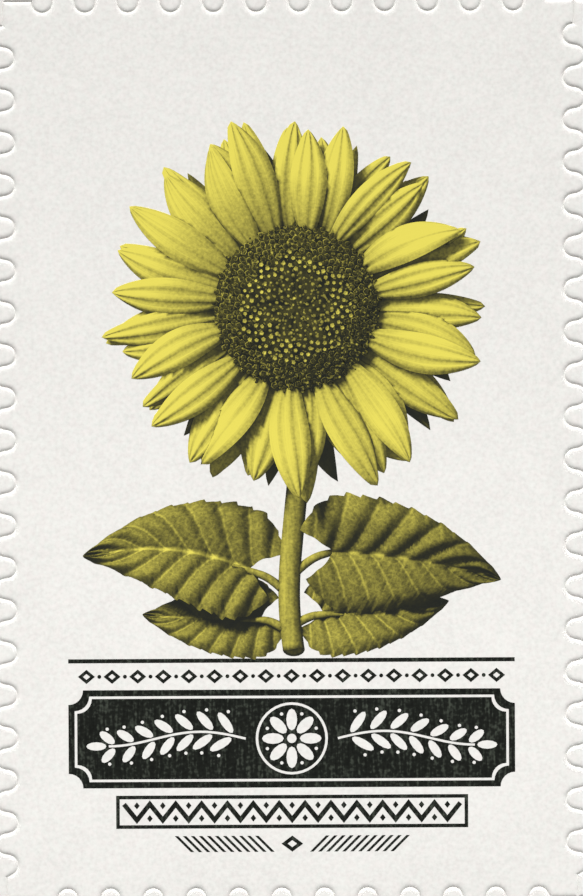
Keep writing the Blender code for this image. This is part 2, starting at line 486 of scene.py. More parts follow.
class StampStageSettings(bpy.types.PropertyGroup):
    """Camera and lights."""

    lens: bpy.props.FloatProperty(
        name="Lens", description="Focal length, in millimetres", min=10.0, default=200.0)
    view_height: bpy.props.FloatProperty(
        name="View height", description="Height of the part of the card in view",
        subtype="DISTANCE", unit="LENGTH", default=37.93 * MM)
    centre: bpy.props.FloatVectorProperty(
        name="View centre", description="Point of the card at the middle of the view",
        subtype="XYZ", size=2, default=(0.049 * MM, 0.066 * MM))
    roll: bpy.props.FloatProperty(
        name="Roll", description="Turn of the camera about its own axis",
        subtype="ANGLE", unit="ROTATION", default=math.radians(-0.29))
    key_power: bpy.props.FloatProperty(
        name="Key", description="Power of the main light, in watts", min=0.0, default=66.7)
    fill_power: bpy.props.FloatProperty(
        name="Fill", description="Power of the weak light from the lower side, in watts",
        min=0.0, default=0.0010)
    surround: bpy.props.FloatProperty(
        name="Surround", description="Strength of the even light from all round", min=0.0, default=0.114)


# ---------------------------------------------------------------- paper pieces

SHOULDER_RINGS = 9
SHOULDER_CURVE = 4.6                # the shoulder is steep at the cut and runs out flat
SQUEEZED = 0.03 * MM                # corners that an inset has pushed together are merged
TRIM_SLACK = 1.0 * MM
LONGEST_WAVE_EDGE = 0.5 * MM        # a longer edge is the straight lead of a cut
LEAD_CUTS = 6
LEVEL_ZONE = 1.27 * MM              # the stamp's level cuts and their shoulders lie this close to its ends
DEEPEST_PRESS = 0.09 * MM
PAPER_SMOOTH_ANGLE = math.radians(14)
RIM_GROWTH = 0.0135 * MM            # a little under half the width of the cut
FILM_CLEARANCE = 0.001 * MM


def cut_off(point, normal, use_fill=False):
    """In edit mode, cut the whole shape along a plane and drop what lies in front of it."""
    bpy.ops.mesh.select_all(action="SELECT")
    bpy.ops.mesh.bisect(
        plane_co=point, plane_no=normal, use_fill=use_fill, clear_outer=True, threshold=MERGE)


def extend_trimmed_sides(piece, distance):
    """Move the sides that lie on the card's edge outwards."""
    for axis, half in enumerate(CARD_HALF):
        for side in (-1, 1):
            select_where(piece, lambda v: side * v.co[axis] > half - MERGE)
            shift = Vector()
            shift[axis] = side * distance
            bpy.ops.transform.translate(value=shift)


def trim_to_card():
    """In edit mode, cut the piece off at the card's edge and close it."""
    for axis, half in enumerate(CARD_HALF):
        for side in (-1.0, 1.0):
            normal = Vector()
            normal[axis] = side
            cut_off(normal * half, normal, use_fill=True)


def set_heights(piece, low, high):
    """Bring the lower and the upper face of a flat piece to these heights."""
    for height, side in ((low, -1), (high, 1)):
        select_facing(piece, side)
        flatten_selected(0.0, height)


def meet_across_cut(piece, distance):
    """Grow the outline, so that the pressed rims of two pieces all but meet in the cut."""
    bpy.ops.mesh.select_all(action="SELECT")
    bpy.ops.transform.shrink_fatten(value=distance, use_even_offset=True)
    set_heights(piece, STAMP_LOW.z, FACE_Z)


def divide_leads(piece):
    """Give the straight leads more corners, so that a shoulder's bend at their ends stays there."""
    select_where(piece, lambda e: e.calc_length() > LONGEST_WAVE_EDGE, "EDGE")
    bpy.ops.mesh.subdivide(number_cuts=LEAD_CUTS)


def press_shoulder(piece, depth, width):
    """Lower the rim of the top face and bring it back up in rings, each one an inset."""
    select_facing(piece)
    raise_selected(-depth)
    depths = [depth * (1 - ring / SHOULDER_RINGS) ** SHOULDER_CURVE for ring in range(SHOULDER_RINGS + 1)]
    depths.append(0.0)
    for low, high in zip(depths, depths[1:]):
        bpy.ops.mesh.inset(thickness=width / SHOULDER_RINGS, depth=low - high, use_even_offset=True)
        bpy.ops.mesh.remove_doubles(threshold=SQUEEZED)


def ease_level_cuts(piece, share):
    """Bring the pressed rim along the level cuts part of the way up again."""
    far = STAMP_HIGH.y - LEVEL_ZONE
    select_where(piece, lambda v: abs(v.co.y) > far and v.co.z > FACE_Z - DEEPEST_PRESS)
    flatten_selected(share, FACE_Z)


class OBJECT_OT_stamp_label_paper(bpy.types.Operator):
    """Model the seven pieces of label paper, pressed down along the wavy cuts"""

    bl_idname = "object.stamp_label_paper"
    bl_label = "Label Paper"

    def execute(self, context):
        paper = context.scene.stamp_paper
        material = label_paper_material(paper)
        for node_name in LABEL_NODES:
            piece = copy_of_node(node_name, node_name + "_paper")
            edit(piece)
            extend_trimmed_sides(piece, TRIM_SLACK)
            meet_across_cut(piece, RIM_GROWTH)
            divide_leads(piece)
            press_shoulder(piece, paper.press_depth, paper.press_width)
            if node_name == "stamp":
                ease_level_cuts(piece, paper.level_press)
            trim_to_card()
            close_edit()
            finish_piece(piece, material, "label_paper", node_name, smooth_angle=PAPER_SMOOTH_ANGLE)
        return {"FINISHED"}


class OBJECT_OT_stamp_adhesive(bpy.types.Operator):
    """Lay the thin film of adhesive under each piece of label paper"""

    bl_idname = "object.stamp_adhesive"
    bl_label = "Adhesive"

    def execute(self, context):
        material = adhesive_material(context.scene.stamp_paper)
        for node_name in LABEL_NODES:
            film = copy_of_node(node_name, node_name + "_adhesive")
            edit(film)
            set_heights(film, BACKING_HIGH.z + FILM_CLEARANCE, STAMP_LOW.z - FILM_CLEARANCE)
            close_edit()
            finish_piece(film, material, "adhesive")
        return {"FINISHED"}


class OBJECT_OT_stamp_backing(bpy.types.Operator):
    """Give the backing sheet its release paper"""

    bl_idname = "object.stamp_backing"
    bl_label = "Backing Sheet"

    def execute(self, context):
        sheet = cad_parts["backing_sheet"]
        material = backing_material(context.scene.stamp_paper)
        for index in range(len(sheet.material_slots)):
            sheet.material_slots[index].material = material
        return {"FINISHED"}


# ---------------------------------------------------------------- the printed sunflower

# The flower is modelled in relief over the paper, lit, and then pressed flat into a film of ink.
# Heights of its layers over the paper, before it is pressed flat:
LEAF_HEIGHT = 0.15 * MM             # and each leaf this much over the one before
STEM_HEIGHT = 1.2 * MM
BRACT_HEIGHT = 1.9 * MM
BACK_PETAL_HEIGHT = 2.3 * MM
FRONT_PETAL_HEIGHT = 2.9 * MM
DISC_HEIGHT = 3.2 * MM

PETAL_ROWS = 28
PETAL_COLUMNS = 12
PLEAT_HEIGHT = 0.06 * MM
PETAL_CUP = 0.20 * MM               # how far a petal's sides hang down
PETAL_ARCH = 0.42 * MM
PETAL_DROOP = 0.25 * MM
PETAL_FOOT_WIDTH = 0.42             # share of its greatest width
PETAL_ALBEDO = (0.55, 0.41, 1.6)    # at the foot, gain towards the tip, how soon it is gained
FRONT_FOOT = 0.90                   # how far out a ring starts, as a share of the disc's radius
BACK_FOOT = 0.882
BRACT_FOOT = 1.02
FRONT_LIFT = 0.10                   # how far a ring's blades turn up
BACK_LIFT = 0.02
FRONT_PETALS = 31
BACK_PETALS = 24
BRACTS = 21
LAYER_STEP = 0.40 * MM              # every other blade of a ring lies this much higher
BRACT_SIZE = (0.80, 0.95)           # shares of a petal's length and width
BRACT_KEEL = 0.22 * MM              # how far a bract's sides hang down
# how far the blades of a ring stray from an even row
STRAY_PLACE = 0.26                  # share of their spacing
STRAY_HEIGHT = 0.10 * MM
STRAY_ROLL = 0.30
STRAY_PITCH = 0.10
STRAY_HEADING = 0.06
STRAY_BEND = 0.42
STRAY_TWIST = 0.5
LENGTH_SHARES = (0.86, 1.06)        # least and greatest
WIDTH_SHARES = (0.86, 1.12)

LEAF_ROWS = 112
LEAF_COLUMNS = 30
LEAF_VEINS = 7
VEIN_RISE = 0.30                    # how far a side vein runs up the leaf by the time it meets the edge
VEIN_CURVE = 0.8
LEAF_FOLD = 0.75 * MM
MIDRIB_HEIGHT = 0.14 * MM
QUILT_STEPS = 14
QUILT_HEIGHT = 0.30 * MM
LEAF_TEETH = 14
TOOTH_DEPTH = 0.09                  # share of the leaf's width
LEAF_FOOT_WIDTH = 0.40              # share of its greatest width
LEAF_SHOULDER = 0.20                # share of the leaf's length at which it is broadest
LEAF_ARCH = 0.75 * MM
LEAF_DROOP = 0.5 * MM
LEAF_SWEEP = 0.17                   # how much further back than its midrib a leaf's edge starts
LEAF_ALBEDO = 0.28
STEM_ALBEDO = 0.42
PITH_ALBEDO = 0.85
BRACT_ALBEDO = 0.22
DOME_ALBEDO = 0.05

DISC_DOME = 0.9 * MM
DOME_SEGMENTS = 64
DOME_RINGS = 12
HOLLOW = (0.35, 0.30)               # depth as a share of the dome's height, width as one of its radius
FLORET_SPACING = 0.158 * MM
FLORET_SIZES = (0.78, 1.18)         # least and greatest
INNER_SIZE = 0.75                   # share of their size that florets have in the middle
EDGE_LEAN = 0.55
STRAY_LEAN = 0.25
STRAY_ZONE = 0.07
BUD_ZONE = 0.42                     # shares of the disc's radius
ANTHER_ZONE = 0.64
BUD_SIZE = (0.19, 0.19, 0.40)       # in millimetres
BUD_ALBEDO = (0.16, 0.34)           # at the waist, gain up to the top
# radius below, radius above and height of a cone; height of what is drawn out of it, and its widening
ANTHER = (0.09 * MM, 0.055 * MM, 0.30 * MM)
ANTHER_HEAD = (0.07 * MM, 1.7)
ANTHER_DIMPLE = 0.03 * MM
ANTHER_ALBEDO = (0.07, 0.62)        # of the stalk, of the head
FLORET = (0.06 * MM, 0.15 * MM, 0.18 * MM)
FLORET_HOLLOW = (0.035 * MM, 0.07 * MM)    # width of its sloping wall, depth
FLORET_FLOOR = 0.03 * MM            # width of the level ring round the column
FLORET_COLUMN = (0.20 * MM, 0.8)
FLORET_ALBEDO = (0.06, 0.55)        # of the cup, of its rim
THIN = 0.01 * MM
PICTURE_SEED = 11

LAMP = Vector((-0.45, 0.55, 0.70)).normalized()
LAMP_SHARE = 0.74                   # the rest of the light comes from the whole sky
LAMP_RAYS = 5
LAMP_SPREAD = 0.14
SKY_RAYS = 26
SHADOW_REACH = 6.0 * MM
RAY_CLEARANCE = 0.012 * MM
INK_SINK = 0.001 * MM               # how far the film's underside goes into the paper


def add_blade(name, length, width, rows, columns):
    """A flat grid along +X from the origin; each vertex keeps its share along and across."""
    deselect_all()
    bpy.ops.mesh.primitive_grid_add(x_subdivisions=rows, y_subdivisions=columns, size=1.0)
    blade = bpy.context.object
    blade.name = name
    blade.location.x = length / 2
    blade.scale = (length, width, 1.0)
    bpy.ops.object.transform_apply(location=True, rotation=False, scale=True)
    paint(blade, "along", lambda co: co.x / length)
    paint(blade, "across", lambda co: 2 * co.y / width)
    return blade


def select_line(blade, name, share, tolerance):
    """In edit mode, select the vertices whose share along or across is this one."""
    shares = bmesh.from_edit_mesh(blade.data).verts.layers.float[name]
    select_where(blade, lambda v: abs(v[shares] - share) < tolerance)


def each_column(blade, columns):
    """In edit mode, select the lines along a blade in turn; gives their places across, from -1 to 1."""
    for column in range(columns + 1):
        across = 2 * column / columns - 1
        select_line(blade, "across", across, 0.5 / columns)
        yield across


def shape_rows(blade, rows, outline):
    """In edit mode, size and lift each row; outline takes its place along, from 0 to 1."""
    for row in range(rows + 1):
        wide, high = outline(row / rows)
        select_line(blade, "along", row / rows, 0.25 / rows)
        bpy.ops.transform.resize(value=(1.0, wide, 1.0), center_override=(0.0, 0.0, 0.0))
        raise_selected(high)


def merge_tip(blade):
    """In edit mode, weld the last row into one corner."""
    select_line(blade, "along", 1.0, MERGE)
    bpy.ops.mesh.merge(type="CENTER")


def petal_outline(along):
    """Width and height of a petal's row: a narrow foot, broad past the middle, a pointed tip."""
    if along < 0.5:
        wide = PETAL_FOOT_WIDTH + (1 - PETAL_FOOT_WIDTH) * math.sin(math.pi * along)
    else:
        wide = max(0.0, math.cos(math.pi * (along - 0.5))) ** 0.72
    return wide, PETAL_ARCH * math.sin(math.pi * 0.85 * along) - PETAL_DROOP * along ** 3


def pleats(across):
    """Height of a petal's cross-section: three soft pleats, its sides hanging down."""
    return PLEAT_HEIGHT * math.cos(3 * math.pi * across) - PETAL_CUP * across ** 2


def add_petal(flower):
    """One petal along +X with three soft pleats."""
    petal = add_blade("petal", flower.petal_length, flower.petal_width, PETAL_ROWS, PETAL_COLUMNS)
    edit(petal)
    for across in each_column(petal, PETAL_COLUMNS):
        raise_selected(pleats(across))
    shape_rows(petal, PETAL_ROWS, petal_outline)
    merge_tip(petal)
    close_edit()
    least, gain, speed = PETAL_ALBEDO
    paint(petal, "albedo", lambda co: least + gain * min(1.0, co.x / flower.petal_length * speed))
    return petal


def stray(draw, reach):
    """A random number between -reach and reach."""
    return draw.uniform(-reach, reach)


def deform(piece, method, axis, angle):
    """Bend or twist a piece for good."""
    activate(piece)
    modifier = piece.modifiers.new("deform", "SIMPLE_DEFORM")
    modifier.deform_method = method
    modifier.deform_axis = axis
    modifier.angle = angle
    bpy.ops.object.modifier_apply(modifier=modifier.name)


def ring_of(source, name, count, radius, height, centre, draw, lift=0.0):
    """Copies of a petal-like blade round the head, each bent, turned and sized a little differently."""
    copies = []
    for index in range(count):
        angle = 2 * math.pi * (index + stray(draw, STRAY_PLACE)) / count
        place = Vector((*centre, FACE_Z + height)) + compass(angle) * radius
        place.z += (index % 2) * LAYER_STEP + stray(draw, STRAY_HEIGHT)
        roll = stray(draw, STRAY_ROLL)
        pitch = stray(draw, STRAY_PITCH) - lift
        heading = angle + stray(draw, STRAY_HEADING)
        size = (draw.uniform(*LENGTH_SHARES), draw.uniform(*WIDTH_SHARES), 1.0)
        copy = copy_of(source, place, (roll, pitch, heading), size)
        deform(copy, "BEND", "Z", stray(draw, STRAY_BEND))
        deform(copy, "TWIST", "X", stray(draw, STRAY_TWIST))
        copies.append(copy)
    return join(name, copies)


class OBJECT_OT_stamp_petals(bpy.types.Operator):
    """Model the two rings of petals of the printed sunflower"""

    bl_idname = "object.stamp_petals"
    bl_label = "Petals"

    def execute(self, context):
        flower = context.scene.stamp_flower
        draw = random.Random(PICTURE_SEED)
        petal = add_petal(flower)
        centre = flower.centre
        foot = flower.disc_radius * BACK_FOOT
        back = ring_of(petal, "back", BACK_PETALS, foot, BACK_PETAL_HEIGHT, centre, draw, BACK_LIFT)
        foot = flower.disc_radius * FRONT_FOOT
        front = ring_of(petal, "front", FRONT_PETALS, foot, FRONT_PETAL_HEIGHT, centre, draw, FRONT_LIFT)
        join("petals_print", [back, front])
        bpy.data.objects.remove(petal)
        return {"FINISHED"}


class OBJECT_OT_stamp_bracts(bpy.types.Operator):
    """Model the green bracts behind the petals"""

    bl_idname = "object.stamp_bracts"
    bl_label = "Bracts"

    def execute(self, context):
        flower = context.scene.stamp_flower
        draw = random.Random(PICTURE_SEED + 1)
        length = flower.petal_length * BRACT_SIZE[0]
        width = flower.petal_width * BRACT_SIZE[1]
        bract = add_blade("bract", length, width, PETAL_ROWS // 2, PETAL_COLUMNS // 2)
        edit(bract)
        for across in each_column(bract, PETAL_COLUMNS // 2):
            raise_selected(-BRACT_KEEL * abs(across))
        shape_rows(bract, PETAL_ROWS // 2, lambda along: ((1 - along ** 2.2) ** 0.9, 0.0))
        merge_tip(bract)
        close_edit()
        paint(bract, "albedo", lambda co: BRACT_ALBEDO)
        foot = flower.disc_radius * BRACT_FOOT
        ring_of(bract, "bracts_print", BRACTS, foot, BRACT_HEIGHT, flower.centre, draw)
        bpy.data.objects.remove(bract)
        return {"FINISHED"}


def dome_dip(share):
    """Depth of the hollow in the middle of the disc, at a share of its radius."""
    depth, width = HOLLOW
    return depth * DISC_DOME * math.exp(-((share / width) ** 2))


def dome_height(share):
    """Height of the disc at a share of its radius: a dome with a shallow hollow in the middle."""
    return DISC_DOME * math.sqrt(max(0.0, 1 - share ** 2)) - dome_dip(share)


def add_dome(centre, radius):
    """The dome that carries the florets."""
    deselect_all()
    bpy.ops.mesh.primitive_uv_sphere_add(
        segments=DOME_SEGMENTS, ring_count=2 * DOME_RINGS, radius=radius, location=centre)
    dome = bpy.context.object
    dome.scale.z = DISC_DOME / radius
    bpy.ops.object.transform_apply(location=True, rotation=False, scale=True)
    edit(dome)
    cut_off(centre, DOWN)
    for ring in range(DOME_RINGS):
        share = math.sin(math.pi / 2 * ring / DOME_RINGS)
        select_where(dome, lambda v: abs((v.co - centre).xy.length - share * radius) < MERGE)
        raise_selected(-dome_dip(share))
    close_edit()
    paint(dome, "albedo", lambda co: DOME_ALBEDO)
    return dome


def add_bud():
    """A closed floret: a small upright bead."""
    bpy.ops.mesh.primitive_ico_sphere_add(subdivisions=1, radius=0.5 * MM)
    bud = bpy.context.object
    edit(bud)
    bpy.ops.transform.resize(value=BUD_SIZE)
    close_edit()
    waist, gain = BUD_ALBEDO
    top = BUD_SIZE[2] / 2 * MM
    paint(bud, "albedo", lambda co: waist + gain * max(0.0, co.z / top))
    return bud


def add_cone(below, above, height):
    """A five-sided cone, left open in edit mode with its upper face selected."""
    bpy.ops.mesh.primitive_cone_add(vertices=5, radius1=below, radius2=above, depth=height)
    cone = bpy.context.object
    edit(cone, "FACE")
    select_facing(cone)
    return cone


def draw_out(height, widening):
    """In edit mode, draw the selected face upwards and make it wider."""
    bpy.ops.mesh.extrude_region_move(TRANSFORM_OT_translate={"value": (0.0, 0.0, height)})
    bpy.ops.transform.resize(value=(widening, widening, 1.0))


def add_anther():
    """A dark stalk with a bright forked head."""
    anther = add_cone(*ANTHER)
    draw_out(*ANTHER_HEAD)
    bpy.ops.mesh.inset(thickness=ANTHER_DIMPLE, depth=-ANTHER_DIMPLE)
    close_edit()
    stalk, head = ANTHER_ALBEDO
    stalk_top = ANTHER[2] / 2
    paint(anther, "albedo", lambda co: head if co.z > stalk_top + THIN else stalk)
    return anther


def add_open_floret():
    """A five-lobed cup with a dark column in it."""
    floret = add_cone(*FLORET)
    wall, depth = FLORET_HOLLOW
    bpy.ops.mesh.inset(thickness=wall, depth=-depth)
    bpy.ops.mesh.inset(thickness=FLORET_FLOOR)
    draw_out(*FLORET_COLUMN)
    close_edit()
    cup, rim = FLORET_ALBEDO
    rim_height = FLORET[2] / 2
    paint(floret, "albedo", lambda co: rim if abs(co.z - rim_height) < THIN else cup)
    return floret


class OBJECT_OT_stamp_disc(bpy.types.Operator):
    """Model the flower's disc: a dome packed with florets in spirals"""

    bl_idname = "object.stamp_disc"
    bl_label = "Disc"

    def execute(self, context):
        flower = context.scene.stamp_flower
        draw = random.Random(PICTURE_SEED + 2)
        radius = flower.disc_radius
        centre = Vector((*flower.centre, FACE_Z + DISC_HEIGHT))
        bud, anther, floret = add_bud(), add_anther(), add_open_floret()
        pieces = [add_dome(centre, radius)]
        for index in range(int((radius / FLORET_SPACING) ** 2)):
            share = FLORET_SPACING * math.sqrt(index + 0.5) / radius
            angle = index * GOLDEN_ANGLE
            zone = share + stray(draw, STRAY_ZONE)
            kind = bud if zone < BUD_ZONE else anther if zone < ANTHER_ZONE else floret
            grown = INNER_SIZE + (1 - INNER_SIZE) * min(1.0, share / BUD_ZONE)
            size = draw.uniform(*FLORET_SIZES) * grown
            lean = EDGE_LEAN * share ** 2 + stray(draw, STRAY_LEAN)
            place = centre + compass(angle) * radius * share + Vector((0.0, 0.0, dome_height(share)))
            pieces.append(copy_of(kind, place, (0.0, lean, angle), (size, size, size)))
        join("disc_print", pieces)
        for model in (bud, anther, floret):
            bpy.data.objects.remove(model)
        return {"FINISHED"}


def leaf_outline(along):
    """Width and height of a leaf's row: broad foot, toothed edge, long tip."""
    rise = math.sin(math.pi / 2 * min(1.0, along / LEAF_SHOULDER)) ** 0.8
    foot = LEAF_FOOT_WIDTH + (1 - LEAF_FOOT_WIDTH) * rise
    past_shoulder = max(0.0, (along - LEAF_SHOULDER) / (1 - LEAF_SHOULDER))
    body = math.cos(math.pi / 2 * past_shoulder) ** 0.95 if along < 1 else 0.0
    tooth = 1 - TOOTH_DEPTH * ((along * LEAF_TEETH) % 1.0) * (1 - along)
    return foot * body * tooth, LEAF_ARCH * math.sin(math.pi * along) - LEAF_DROOP * along ** 2


def leaf_fold(across):
    """Height of a leaf's cross-section: a trough with a raised midrib, its edges turned down again."""
    return MIDRIB_HEIGHT if across == 0 else LEAF_FOLD * (abs(across) ** 0.8 - across ** 4)


def quilt_step(co, flower):
    """Which of the steps between two side veins a point lies on; -1 on the midrib."""
    along = co.x / flower.leaf_length
    across = abs(co.y) / (flower.leaf_width / 2)
    phase = ((along - VEIN_RISE * across ** VEIN_CURVE) * LEAF_VEINS + 0.5) % 1.0
    return int(phase * QUILT_STEPS) if abs(co.y) > MERGE else -1


def add_leaf(flower):
    """One leaf along +X, quilted between its veins, folded along its midrib, heart-shaped at the foot."""
    leaf = add_blade("leaf", flower.leaf_length, flower.leaf_width, LEAF_ROWS, LEAF_COLUMNS)
    paint(leaf, "albedo", lambda co: LEAF_ALBEDO)
    edit(leaf)
    for step in range(QUILT_STEPS):
        select_where(leaf, lambda v: quilt_step(v.co, flower) == step)
        raise_selected(QUILT_HEIGHT * math.sin(math.pi * (step + 0.5) / QUILT_STEPS))
    for across in each_column(leaf, LEAF_COLUMNS):
        raise_selected(leaf_fold(across))
    shape_rows(leaf, LEAF_ROWS, leaf_outline)
    tip = (flower.leaf_length, 0.0, 0.0)
    for across in each_column(leaf, LEAF_COLUMNS):
        sweep = 1 + LEAF_SWEEP * abs(across) ** 1.4
        bpy.ops.transform.resize(value=(sweep, 1.0, 1.0), center_override=tip)
    merge_tip(leaf)
    close_edit()
    return leaf


# (place of the foot, direction in degrees, roll, size, bend) of each leaf
LEAVES = (
    ((-1.25 * MM, -7.15 * MM), 186.0, 0.25, 0.66, -0.35),
    ((1.35 * MM, -6.95 * MM), -4.0, -0.20, 0.70, 0.40),
    ((-1.75 * MM, -5.1 * MM), 163.0, 0.30, 0.93, 0.50),
    ((1.75 * MM, -4.3 * MM), 2.0, 0.22, 0.95, -0.50),
)
# the points that the stem and the leaves' stalks follow, in millimetres
STEM_ROUTE = ((0.35, -1.0), (0.10, -3.4), (-0.10, -5.6), (-0.05, -7.4), (0.10, -8.45))
STALKS = (
    ((-0.05, -7.75), (-0.60, -7.35), (-1.35, -7.15), (-2.15, -7.24)),
    ((-0.05, -7.55), (0.60, -7.10), (1.45, -6.95), (2.25, -7.01)),
    ((-0.05, -6.25), (-0.70, -5.50), (-1.85, -5.08), (-2.75, -4.80)),
    ((-0.05, -5.45), (0.70, -4.65), (1.85, -4.30), (2.80, -4.27)),
)
STALK_TAPER = (1.0, 0.92, 0.75, 0.20)    # share of the radius at each point
STEM_RADIUS = 0.46 * MM
STALK_RADIUS = 0.20 * MM
CUT_SLANT = math.radians(50)
CUT_RINGS = (0.10 * MM, 0.06 * MM, 0.12 * MM)
SKIN = 0.14 * MM
DOWN = (0.0, 0.0, -1.0)


def add_stalk(name, route, radius, taper):
    """The upper half of a round stalk along a route; taper holds its share of the radius at each point."""
    level = FACE_Z + STEM_HEIGHT
    curve = bpy.data.curves.new(name, "CURVE")
    curve.dimensions = "3D"
    curve.bevel_depth = radius
    curve.bevel_resolution = 4
    curve.use_fill_caps = True
    spline = curve.splines.new("NURBS")
    spline.points.add(len(route) - 1)
    spline.use_endpoint_u = True
    spline.order_u = 3
    spline.resolution_u = 8
    for point, (x, y), share in zip(spline.points, route, taper):
        point.co = (x * MM, y * MM, level, 1.0)
        point.radius = share
    stalk = mesh_from_curve(name, curve)
    face_outwards()
    cut_off((0.0, 0.0, level), DOWN)
    close_edit()
    paint(stalk, "albedo", lambda co: STEM_ALBEDO)
    return stalk


def add_cut_end():
    """The slanting cut at the stem's foot: pale pith in a darker skin."""
    x, y = STEM_ROUTE[-1]
    deselect_all()
    bpy.ops.mesh.primitive_circle_add(vertices=32, radius=STEM_RADIUS * 1.02, fill_type="NGON")
    cut = bpy.context.object
    edit(cut, "FACE")
    for width in CUT_RINGS:
        bpy.ops.mesh.inset(thickness=width)
    close_edit()
    pith = STEM_RADIUS - SKIN
    paint(cut, "albedo", lambda co: PITH_ALBEDO if co.length < pith else STEM_ALBEDO / 2)
    cut.location = (x * MM, y * MM, FACE_Z + STEM_HEIGHT)
    cut.rotation_euler = (CUT_SLANT, 0.0, 0.0)
    return cut


class OBJECT_OT_stamp_stem(bpy.types.Operator):
    """Model the stem and the stalks of its leaves"""

    bl_idname = "object.stamp_stem"
    bl_label = "Stem"

    def execute(self, context):
        stem = add_stalk("stem", STEM_ROUTE, STEM_RADIUS, [1.0] * len(STEM_ROUTE))
        cut = add_cut_end()
        stalks = [add_stalk("stalk", route, STALK_RADIUS, STALK_TAPER) for route in STALKS]
        join("stem_print", [stem, cut, *stalks])
        return {"FINISHED"}


class OBJECT_OT_stamp_leaves(bpy.types.Operator):
    """Model the leaves on the stem"""

    bl_idname = "object.stamp_leaves"
    bl_label = "Leaves"

    def execute(self, context):
        leaf = add_leaf(context.scene.stamp_flower)
        copies = []
        for (x, y), direction, roll, size, bend in LEAVES:
            place = (x, y, FACE_Z + LEAF_HEIGHT)
            copy = copy_of(leaf, place, (roll, 0.0, math.radians(direction)), (size, size, size))
            deform(copy, "BEND", "Z", bend)
            bpy.ops.object.transform_apply(location=True, rotation=True, scale=True)
            lowest = min(vertex.co.z for vertex in copy.data.vertices)
            copy.location.z = FACE_Z + LEAF_HEIGHT * (1 + len(copies)) - lowest
            copies.append(copy)
        join("leaves_print", copies)
        bpy.data.objects.remove(leaf)
        return {"FINISHED"}


def sky_directions(count):
    """Directions spread evenly over the upper half of the sky."""
    directions = []
    for index in range(count):
        high = (index + 0.5) / count
        flat = math.sqrt(1 - high ** 2)
        turn = index * GOLDEN_ANGLE
        directions.append(Vector((math.cos(turn) * flat, math.sin(turn) * flat, high)))
    return directions


def lamp_directions(count):
    """Directions close round the lamp, for a soft shadow."""
    directions = []
    for index in range(count):
        turn = index * GOLDEN_ANGLE
        reach = LAMP_SPREAD * math.sqrt((index + 0.5) / count)
        directions.append((LAMP + compass(turn) * reach).normalized())
    return directions


def light_from(directions, start, normal, relief):
    """How much light reaches a point from these directions, 1 on open level ground."""
    received = 0.0
    full = 0.0
    for direction in directions:
        full += direction.z
        facing = normal.dot(direction)
        if facing > 0 and relief.ray_cast(start, direction, SHADOW_REACH)[0] is None:
            received += facing
    return received / full


def light_picture(pieces, contrasts):
    """Store at each vertex of the relief how bright it looks; a contrast deepens a piece's shade."""
    corners, faces = [], []
    for piece in pieces:
        first = len(corners)
        corners.extend(vertex.co.copy() for vertex in piece.data.vertices)
        faces.extend([first + index for index in face.vertices] for face in piece.data.polygons)
    relief = BVHTree.FromPolygons(corners, faces)
    sky = sky_directions(SKY_RAYS)
    lamp = lamp_directions(LAMP_RAYS)
    for piece, contrast in zip(pieces, contrasts):
        tones = piece.data.attributes.new("tone", "FLOAT", "POINT").data
        albedo = piece.data.attributes["albedo"].data
        for vertex in piece.data.vertices:
            normal = vertex.normal if vertex.normal.z >= 0 else -vertex.normal
            start = vertex.co + normal * RAY_CLEARANCE
            light = LAMP_SHARE * light_from(lamp, start, normal, relief)
            light += (1 - LAMP_SHARE) * light_from(sky, start, normal, relief)
            tones[vertex.index].value = albedo[vertex.index].value * light ** contrast


def press_flat(piece, film):
    """Press a lit relief down to a film of ink and close its open edges underneath."""
    edit(piece)
    flatten_selected(film, FACE_Z)
    select_where(piece, lambda e: e.is_boundary, "EDGE")
    if any(edge.select for edge in bmesh.from_edit_mesh(piece.data).edges):
        bpy.ops.mesh.extrude_region_move()
        flatten_selected(0.0, FACE_Z - INK_SINK)
        bpy.ops.mesh.fill_holes(sides=0)
        bpy.ops.mesh.select_all(action="SELECT")
        face_outwards()
    close_edit()


# the ink, what changes its tone, and the contrast of each layer of the picture
PICTURE = {
    "leaves_print": ("leaf_ink", leaf_tone, 2.0),
    "stem_print": ("stem_ink", stem_tone, 1.9),
    "bracts_print": ("stem_ink", stem_tone, 1.6),
    "petals_print": ("petal_ink", petal_tone, 1.25),
    "disc_print": ("disc_ink", disc_tone, 1.3),
}


class OBJECT_OT_stamp_picture(bpy.types.Operator):
    """Light the modelled sunflower and press it flat as a print in two inks"""

    bl_idname = "object.stamp_picture"
    bl_label = "Print Picture"

    def execute(self, context):
        ink = context.scene.stamp_ink
        pieces = [bpy.data.objects[name] for name in PICTURE]
        light_picture(pieces, [contrast for _, _, contrast in PICTURE.values()])
        for piece, (name, change, _) in zip(pieces, PICTURE.values()):
            press_flat(piece, ink.film)
            finish_piece(piece, two_ink_material(name, ink, change), "yellow_ink")
        return {"FINISHED"}


# ---------------------------------------------------------------- the printed ornaments

